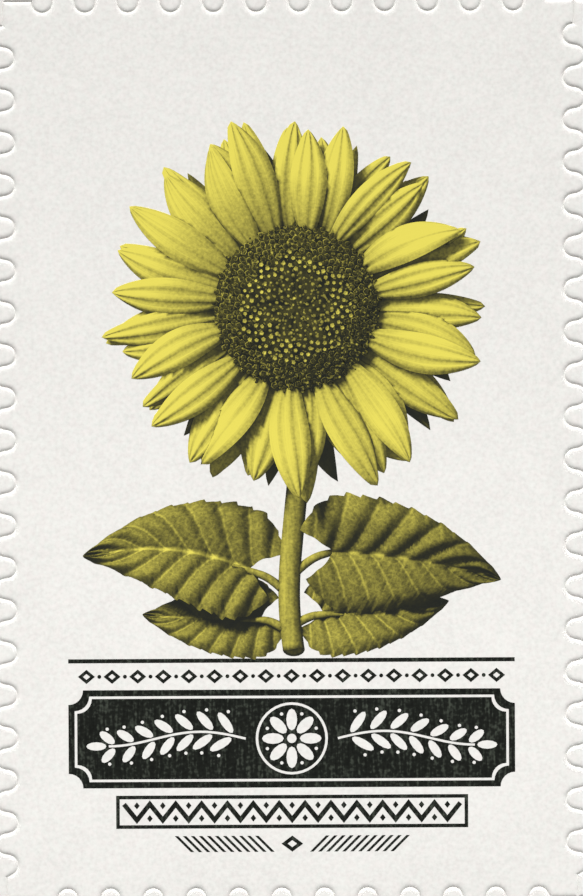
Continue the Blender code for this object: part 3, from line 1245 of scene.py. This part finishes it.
# Measures of the ornaments, in millimetres from the stamp's centre.
INK_TOP = 0.003 * MM                # height of the black ink over the paper
ARC_STEPS = 6
SHARPEST_MITRE = 0.3
RULE = (-8.92, 9.45, 0.17)          # place up, half length, thickness
DIAMOND_ROW = (-9.58, 17, 1.085, 0.36, 0.30)    # place up, count, pitch, half width, half height
DIAMOND_HOLE = 0.42                 # share of the diamond's size
DOT_RADIUS = 0.085
PANEL = (-10.15, -14.30, 9.45)      # top, bottom, half width
PANEL_NOTCH = 0.62
KEYLINE = (0.26, 0.11)              # distance from the panel's edge, width
SPRAY = (-12.225, 1.95, 7.75, 0.30)  # place up, start, end, height of its wave
SPRAY_LINE = 0.10
SPRAY_STEPS = 24
SPRAY_WAVES = 0.75
SPRAY_PAIRS = 7
FIRST_PAIR = 0.55                   # in spaces between pairs
SPRAY_TIP = (0.10, 0.95, 0.36)      # start, end and width of the last leaf
SPRAY_LEAF = (0.17, 1.22, 0.37, 0.74)    # start, end, width, angle to the stem
BERRY = (0.88, 1.09, 0.075)         # share of the leaf's length, angle to the stem, radius
SHORTENING = 0.045                  # each pair of leaves is this much shorter than the one before
ROSETTE_RADIUS = 1.42
ROSETTE_RING = 0.11                 # width of the line round it
ROSETTE_PETALS = 8
ROSETTE_PETAL = (0.34, 1.26, 0.46)  # start, end, width
ROSETTE_DOTS = (1.12, 0.075)        # distance from the middle, radius
ROSETTE_HEART = 0.20
STRIP = (-14.62, -16.02, 7.45)      # top, bottom, half width
STRIP_LINE = 0.15
ZIGZAG = (13, 0.34, 0.20)           # teeth on each half, half height, line width
ZIGZAG_MARGIN = 2.2                 # in widths of the strip's line
TOOTH_MARK = (0.27, 0.12, 0.15)     # distance from the middle line, half width, half height
HATCH = (-16.34, -17.02, 5.10, 0.34, 0.145)     # top, bottom, half width, pitch, line width
HATCH_START = 0.75
HATCH_DIAMOND = (0.46, 0.34)        # half width, half height
HATCH_HOLE = (0.20, 0.15)


def rectangle(left, bottom, right, top):
    """Corners of an upright rectangle."""
    return [(left, bottom), (right, bottom), (right, top), (left, top)]


def lozenge(x, y, half_width, half_height):
    """A diamond."""
    return [(x + half_width, y), (x, y + half_height), (x - half_width, y), (x, y - half_height)]


def circle(x, y, radius, steps=16):
    """A round outline."""
    turns = [2 * math.pi * step / steps for step in range(steps)]
    return [(x + radius * math.cos(turn), y + radius * math.sin(turn)) for turn in turns]


def pointed_oval(x, y, direction, near, far, width):
    """A leaf shape that points away from a centre, between two distances from it."""
    along = (math.cos(direction), math.sin(direction))
    points = []
    for step in range(2 * ARC_STEPS):
        share = step / ARC_STEPS
        reach = near + (far - near) * (1 - math.cos(math.pi * share)) / 2
        side = width / 2 * math.sin(math.pi * share)
        points.append((x + along[0] * reach - along[1] * side, y + along[1] * reach + along[0] * side))
    return points


def notched_panel(half_width, bottom, top, notch):
    """A rectangle whose corners are cut out by quarter circles."""
    points = []
    corners = ((half_width, top), (-half_width, top), (-half_width, bottom), (half_width, bottom))
    for index, (x, y) in enumerate(corners):
        for step in range(ARC_STEPS + 1):
            turn = math.radians(180 + 90 * (index + 1 - step / ARC_STEPS))
            points.append((x + notch * math.cos(turn), y + notch * math.sin(turn)))
    return points


def stroke(points, width):
    """The outline of a line of even width along points, its corners mitred."""
    line = [Vector(point) for point in points]
    steps = [(after - before).normalized() for before, after in zip(line, line[1:])]
    left, right = [], []
    for point, into, out in zip(line, [steps[0], *steps], [*steps, steps[-1]]):
        normal = (into + out).orthogonal().normalized()
        reach = width / 2 / max(SHARPEST_MITRE, normal.dot(out.orthogonal()))
        left.append(tuple(point + normal * reach))
        right.append(tuple(point - normal * reach))
    return left + right[::-1]


def both_sides(outlines):
    """The outlines, and the same ones mirrored to the left."""
    return outlines + [[(-x, y) for x, y in outline] for outline in outlines]


def add_ink_shape(name, outlines):
    """A thin slab of ink; an outline inside another is a hole in it."""
    curve = bpy.data.curves.new(name, "CURVE")
    curve.dimensions = "2D"
    curve.fill_mode = "BOTH"
    curve.extrude = (INK_TOP + INK_SINK) / 2
    for outline in outlines:
        spline = curve.splines.new("POLY")
        spline.points.add(len(outline) - 1)
        spline.use_cyclic_u = True
        for point, (x, y) in zip(spline.points, outline):
            point.co = (x * MM, y * MM, 0.0, 1.0)
    shape = mesh_from_curve(name, curve)
    raise_selected(FACE_Z + (INK_TOP - INK_SINK) / 2)
    face_outwards()
    close_edit()
    return shape


def diamond_row():
    """A thin rule over a row of small diamonds with dots between them."""
    up, half, thickness = RULE
    outlines = [rectangle(-half, up - thickness / 2, half, up + thickness / 2)]
    up, count, pitch, half_width, half_height = DIAMOND_ROW
    for index in range(count):
        x = (index - (count - 1) / 2) * pitch
        outlines.append(lozenge(x, up, half_width, half_height))
        outlines.append(lozenge(x, up, half_width * DIAMOND_HOLE, half_height * DIAMOND_HOLE))
        if index:
            outlines.append(circle(x - pitch / 2, up, DOT_RADIUS, 10))
    return outlines


def laurel_sprays():
    """A laurel spray on each side: a waving stem with leaves in pairs and a berry by each pair."""
    up, start, end, wave = SPRAY
    length = end - start
    leaf_start, end_of_leaf, width, leaf_angle = SPRAY_LEAF
    berry_reach, berry_angle, berry_radius = BERRY

    def stem_point(share):
        return Vector((start + length * share, up + wave * math.sin(2 * math.pi * share * SPRAY_WAVES)))

    outlines = [stroke([stem_point(step / SPRAY_STEPS) for step in range(SPRAY_STEPS + 1)], SPRAY_LINE)]
    for pair in range(SPRAY_PAIRS):
        share = (pair + FIRST_PAIR) / SPRAY_PAIRS
        point = stem_point(share)
        forward = stem_point(share + 0.01) - point
        heading = math.atan2(forward.y, forward.x)
        leaf_end = end_of_leaf - SHORTENING * pair
        for side in (-1, 1):
            outlines.append(pointed_oval(*point, heading + side * leaf_angle, leaf_start, leaf_end, width))
            berry = point + compass(heading + side * berry_angle).xy * berry_reach * leaf_end
            outlines.append(circle(*berry, berry_radius, 8))
    outlines.append(pointed_oval(*stem_point(1.0), 0.0, *SPRAY_TIP))
    return both_sides(outlines)


def spray_panel():
    """The black panel: a rosette in the middle, a laurel spray on both sides, a fine line all round."""
    top, bottom, half = PANEL
    middle = (top + bottom) / 2
    outlines = [notched_panel(half, bottom, top, PANEL_NOTCH)]
    inset, width = KEYLINE
    for distance in (inset, inset + width):
        outlines.append(notched_panel(half - distance, bottom + distance, top - distance, PANEL_NOTCH))
    away, dot = ROSETTE_DOTS
    for index in range(ROSETTE_PETALS):
        direction = 2 * math.pi * index / ROSETTE_PETALS
        outlines.append(pointed_oval(0, middle, direction, *ROSETTE_PETAL))
        between = direction + math.pi / ROSETTE_PETALS
        outlines.append(circle(math.cos(between) * away, middle + math.sin(between) * away, dot, 8))
    outlines.append(circle(0, middle, ROSETTE_HEART))
    for radius in (ROSETTE_RADIUS + ROSETTE_RING, ROSETTE_RADIUS):
        outlines.append(circle(0, middle, radius, 40))
    return outlines + laurel_sprays()


def zigzag_strip():
    """A framed strip with a zigzag line and a dot in each of its teeth."""
    top, bottom, half = STRIP
    outlines = [rectangle(-half, bottom, half, top),
                rectangle(-half + STRIP_LINE, bottom + STRIP_LINE, half - STRIP_LINE, top - STRIP_LINE)]
    teeth, reach, width = ZIGZAG
    middle = (top + bottom) / 2
    pitch = (half - ZIGZAG_MARGIN * STRIP_LINE) / teeth
    away, *mark = TOOTH_MARK
    line = []
    for index in range(-teeth, teeth + 1):
        side = 1 if index % 2 else -1
        line.append((index * pitch, middle + side * reach))
        if abs(index) < teeth:
            outlines.append(lozenge(index * pitch, middle - side * away, *mark))
    return outlines + [stroke(line, width)]


def hatch_strip():
    """Slanting lines that lean towards the middle, with a diamond where they meet."""
    top, bottom, half, pitch, width = HATCH
    slant = top - bottom
    lines = []
    x = HATCH_START
    while x + slant < half + 0.01:
        lines.append([(x, bottom), (x + width, bottom), (x + width + slant, top), (x + slant, top)])
        x += pitch
    middle = (top + bottom) / 2
    return both_sides(lines) + [lozenge(0, middle, *size) for size in (HATCH_DIAMOND, HATCH_HOLE)]


ORNAMENTS = {
    "diamond_row_print": diamond_row,
    "spray_panel_print": spray_panel,
    "zigzag_strip_print": zigzag_strip,
    "hatch_strip_print": hatch_strip,
}


class OBJECT_OT_stamp_ornaments(bpy.types.Operator):
    """Print the black ornaments under the flower"""

    bl_idname = "object.stamp_ornaments"
    bl_label = "Ornaments"

    def execute(self, context):
        material = black_ink_material(context.scene.stamp_ink)
        for name, outlines in ORNAMENTS.items():
            finish_piece(add_ink_shape(name, outlines()), material, "black_ink")
        return {"FINISHED"}


# ---------------------------------------------------------------- stage

FLOOR_SIZE = 4.0
FLOOR_GAP = 0.02 * MM               # the card lies this much above the floor
FLOOR_GRAIN = 60.0
FLOOR_TONES = [(0.3, (0.70, 0.70, 0.69)), (0.7, (0.74, 0.74, 0.73))]
LIGHT_COLOUR = (1.0, 0.995, 0.985)
KEY_PLACE = (0.0, 1.58, 1.045)
KEY_SIZE = (2.60, 0.38)
FILL_PLACE = (0.0, -0.055, 0.055)
FILL_SIZE = (0.06, 0.01)
FILL_AIM = math.radians(-4)
FILL_SPREAD = math.radians(40)


def add_area_light(name, place, size, power):
    """A rectangular area light that looks at the card."""
    data = bpy.data.lights.new(name, "AREA")
    data.shape = "RECTANGLE"
    data.size, data.size_y = size
    data.energy = power
    data.color = LIGHT_COLOUR
    light = link(bpy.data.objects.new(name, data))
    light.location = place
    light.rotation_euler = (-Vector(place)).to_track_quat("-Z", "Y").to_euler()
    light.visible_camera = False
    return light


class SCENE_OT_stamp_stage(bpy.types.Operator):
    """Add the floor, the lights and the camera"""

    bl_idname = "scene.stamp_stage"
    bl_label = "Stage"

    def execute(self, context):
        settings = context.scene.stamp_stage
        scene = context.scene
        deselect_all()
        bpy.ops.mesh.primitive_plane_add(size=FLOOR_SIZE, location=(0.0, 0.0, -FLOOR_GAP))
        floor = context.object
        floor.name = "floor"
        material, tree, shader = new_material("floor")
        grain = noise(tree, FLOOR_GRAIN, detail=3.0)
        tree.links.new(ramp(tree, grain, FLOOR_TONES), shader.inputs["Base Color"])
        shader.inputs["Roughness"].default_value = 0.7
        floor.data.materials.append(material)
        floor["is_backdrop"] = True

        add_area_light("key", KEY_PLACE, KEY_SIZE, settings.key_power)
        fill = add_area_light("fill", FILL_PLACE, FILL_SIZE, settings.fill_power)
        fill.rotation_euler.x += FILL_AIM
        fill.data.spread = FILL_SPREAD

        world = bpy.data.worlds.new("studio")
        world.use_nodes = True
        background = world.node_tree.nodes["Background"]
        background.inputs["Color"].default_value = (1.0, 1.0, 1.0, 1.0)
        background.inputs["Strength"].default_value = settings.surround
        scene.world = world

        data = bpy.data.cameras.new("camera")
        data.type = "PERSP"
        data.lens = settings.lens
        data.clip_start = 0.01
        camera = link(bpy.data.objects.new("camera", data))
        distance = settings.view_height * settings.lens / data.sensor_width
        camera.location = (*settings.centre, FACE_Z + distance)
        camera.rotation_euler = (0.0, 0.0, settings.roll)
        scene.camera = camera
        scene.view_settings.view_transform = "Standard"
        return {"FINISHED"}


class VIEW3D_PT_stamp(bpy.types.Panel):
    """Settings and steps of the stamp"""

    bl_label = "Postage Stamp"
    bl_idname = "VIEW3D_PT_stamp"
    bl_space_type = "VIEW_3D"
    bl_region_type = "UI"
    bl_category = "Stamp"

    def draw(self, context):
        layout = self.layout
        for group in (getattr(context.scene, name) for name in SETTINGS):
            box = layout.box()
            for name in group.bl_rna.properties.keys():
                if name not in {"rna_type", "name"}:
                    box.prop(group, name)
        for step in STEPS:
            layout.operator(step.bl_idname)


SETTINGS = {
    "stamp_paper": StampPaperSettings,
    "stamp_ink": StampInkSettings,
    "stamp_flower": StampFlowerSettings,
    "stamp_stage": StampStageSettings,
}
STEPS = (
    OBJECT_OT_stamp_backing,
    OBJECT_OT_stamp_label_paper,
    OBJECT_OT_stamp_adhesive,
    OBJECT_OT_stamp_leaves,
    OBJECT_OT_stamp_stem,
    OBJECT_OT_stamp_bracts,
    OBJECT_OT_stamp_petals,
    OBJECT_OT_stamp_disc,
    OBJECT_OT_stamp_picture,
    OBJECT_OT_stamp_ornaments,
    SCENE_OT_stamp_stage,
)


CLASSES = (*SETTINGS.values(), *STEPS, VIEW3D_PT_stamp)


def register():
    """Register the settings, the steps and the panel."""
    for kind in CLASSES:
        bpy.utils.register_class(kind)
    for name, group in SETTINGS.items():
        setattr(bpy.types.Scene, name, bpy.props.PointerProperty(type=group))


def unregister():
    """Undo register."""
    for name in SETTINGS:
        delattr(bpy.types.Scene, name)
    for kind in reversed(CLASSES):
        bpy.utils.unregister_class(kind)


def main():
    """Run every step in order."""
    register()
    bpy.ops.object.stamp_backing()
    bpy.ops.object.stamp_label_paper()
    bpy.ops.object.stamp_adhesive()
    bpy.ops.object.stamp_leaves()
    bpy.ops.object.stamp_stem()
    bpy.ops.object.stamp_bracts()
    bpy.ops.object.stamp_petals()
    bpy.ops.object.stamp_disc()
    bpy.ops.object.stamp_picture()
    bpy.ops.object.stamp_ornaments()
    bpy.ops.scene.stamp_stage()
    boxes = {"cad": CAD_BOX, "visual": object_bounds()}
    sizes = {name: [list(corner) for corner in box] for name, box in boxes.items()}


if __name__ == "__main__":
    main()
